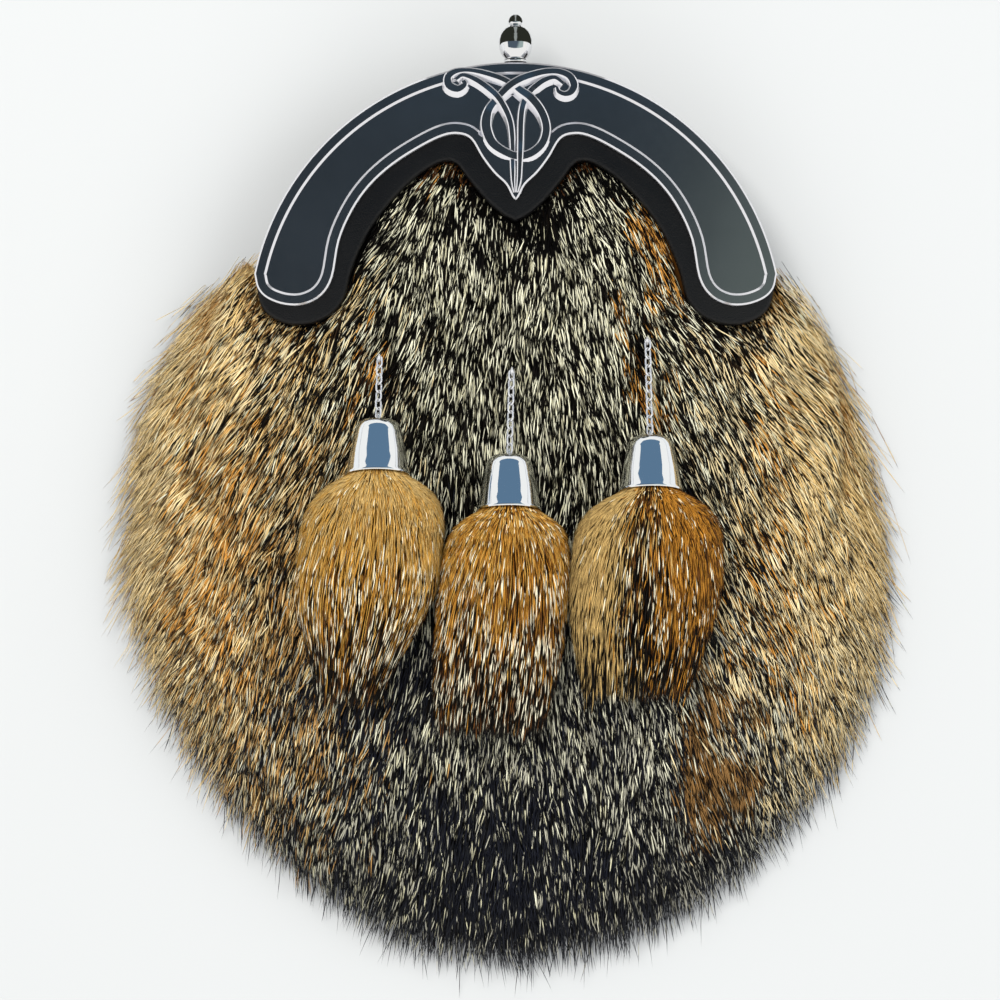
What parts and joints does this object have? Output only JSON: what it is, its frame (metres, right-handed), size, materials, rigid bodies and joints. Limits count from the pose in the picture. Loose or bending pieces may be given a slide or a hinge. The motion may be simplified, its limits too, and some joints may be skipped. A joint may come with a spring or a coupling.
{
  "type": "sporran pouch",
  "caption": "Full-dress fur sporran pouch: hollow leather pouch, deep fur pelt, dark metal cantle with an interlace knot, ball finial and fur tassels on chains.",
  "frame": {"origin": "on the flat back of the pouch, on its middle line, where it rests", "axes": "+X to the wearer's left, which is the right of the picture, +Y up the pouch to the finial, +Z out of the fur face"},
  "size_m": [0.2338, 0.2813, 0.0524],
  "materials": {
    "black_leather": "smooth, slight sheen",
    "fox_fur": "deep fur, dark tips with cream bands",
    "golden_fur": "dense golden fur",
    "dark_polished_metal": "dark polished, bright edges",
    "chrome": "mirror polish",
    "steel": "bright wire"
  },
  "bodies": {
    "root": {"pouch_back": "black_leather", "pouch_gusset": "black_leather", "pouch_front": "black_leather", "belt_loop_left": "black_leather", "belt_loop_right": "black_leather", "fur_pelt": "fox_fur", "cantle_backing": "black_leather", "cantle_plate": "dark_polished_metal", "finial": "chrome", "chain_staple_left": "steel", "tassel_chain_left": "steel", "tassel_cone_left": "chrome", "tassel_fur_left": "golden_fur", "chain_staple_middle": "steel", "tassel_chain_middle": "steel", "tassel_cone_middle": "chrome", "tassel_fur_middle": "golden_fur", "chain_staple_right": "steel", "tassel_chain_right": "steel", "tassel_cone_right": "chrome", "tassel_fur_right": "golden_fur"}
  },
  "joints": []
}
